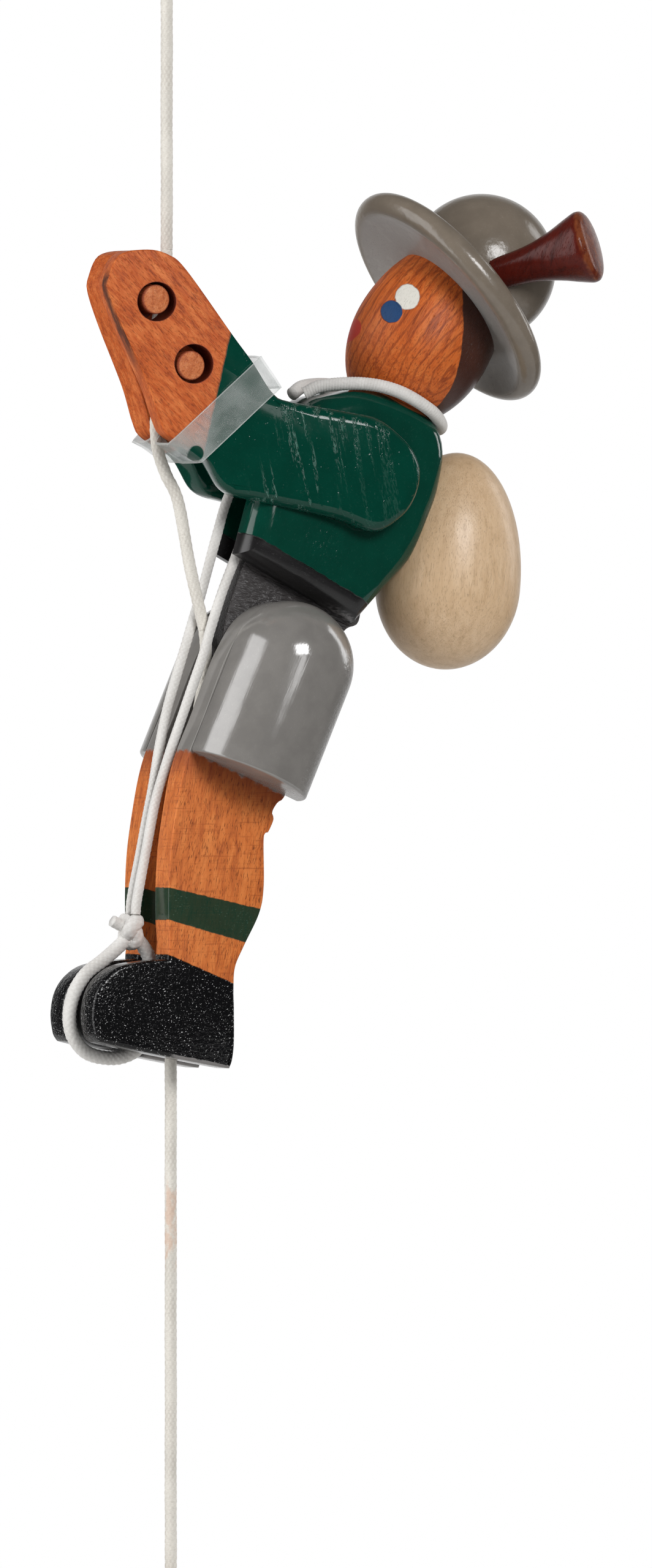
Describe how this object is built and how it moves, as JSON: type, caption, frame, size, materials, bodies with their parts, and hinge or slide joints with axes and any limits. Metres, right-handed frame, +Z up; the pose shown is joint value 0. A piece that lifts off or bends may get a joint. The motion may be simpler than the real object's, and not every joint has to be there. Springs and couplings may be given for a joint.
{
  "type": "climbing figure toy",
  "caption": "Wooden mountaineer toy that hangs on a cord, grips it with pegged hands and climbs as its body straightens and an elastic bends it again.",
  "frame": {"origin": "inside top of the hanging ring, where a hook or a finger carries it", "axes": "+Z up along the cord, +X to the figure's left, +Y behind the figure's back, so it faces -Y"},
  "size_m": [0.0573, 0.1123, 0.3915],
  "materials": {
    "ring_wood": "waxed turned wood",
    "bare_wood": "orange-brown bare wood, satin",
    "arm_finish": "dark green gloss paint on the sleeve, bare orange-brown wood at the hand",
    "head_finish": "orange-brown bare wood, with painted brown hair, white and blue eyes and a red-brown mouth",
    "pale_wood": "pale turned wood, satin",
    "green_paint": "dark green gloss paint with brush marks",
    "dark_grey_paint": "dark grey semi-gloss paint",
    "mid_grey_paint": "mid grey gloss paint",
    "hat_paint": "taupe grey gloss paint",
    "leg_finish": "bare orange-brown wood, with grey paint at the hip, a green sock and a black shoe",
    "black_paint": "black gloss paint",
    "cotton_cord": "braided off-white cotton",
    "elastic": "white covered elastic",
    "clear_band": "clear flexible plastic",
    "tuft_paint": "dark red-brown gloss paint"
  },
  "bodies": {
    "line": {"hanging_ring": "ring_wood", "ring_tie_loop": "cotton_cord", "top_knot": "cotton_cord", "cord_upper": "cotton_cord", "cord_lower": "cotton_cord", "pull_bead": "ring_wood", "bottom_knot": "cotton_cord"},
    "grip": {"cord_at_hands": "cotton_cord"},
    "torso": {"torso": "green_paint", "left_waist_plate": "dark_grey_paint", "right_waist_plate": "dark_grey_paint", "pelvis_board": "dark_grey_paint", "left_arm": "arm_finish", "right_arm": "arm_finish", "upper_grip_peg": "bare_wood", "lower_grip_peg": "bare_wood", "wrist_band": "clear_band", "head": "head_finish", "neck_dowel": "pale_wood", "hat": "hat_paint", "hat_tuft": "tuft_paint", "backpack": "pale_wood", "backpack_dowel": "pale_wood", "elastic_neck_loop": "elastic", "elastic_strand_left": "elastic", "elastic_strand_right": "elastic", "cord_front": "cotton_cord"},
    "legs": {"hip_axle": "pale_wood", "left_leg": "leg_finish", "right_leg": "leg_finish", "left_thigh": "mid_grey_paint", "right_thigh": "mid_grey_paint", "toe_spacer": "black_paint", "cord_in_legs": "cotton_cord", "elastic_knot": "elastic", "elastic_foot_loop": "elastic"}
  },
  "joints": [
    {"name": "climb", "type": "slide", "parent": "line", "child": "grip", "axis": [0, 0, 1], "range_m": [-0.028, 0.028], "deforming": ["cord_upper", "cord_lower"]},
    {"name": "lean", "type": "hinge", "parent": "grip", "child": "torso", "pos_m": [0, -0.0016, -0.1081], "axis": [1, 0, 0], "range_deg": [-11, 11], "deforming": ["cord_at_hands"]},
    {"name": "hip", "type": "hinge", "parent": "torso", "child": "legs", "pos_m": [0, 0.0223, -0.1758], "axis": [1, 0, 0], "range_deg": [-20, 20], "stiffness_Nm_per_rad": 0.06, "springref_deg": -20.05, "deforming": ["elastic_strand_left", "elastic_strand_right", "cord_front", "cord_in_legs"]}
  ],
  "couplings": [
    {"joint": "lean", "follows": "hip", "ratio": -0.523}
  ]
}
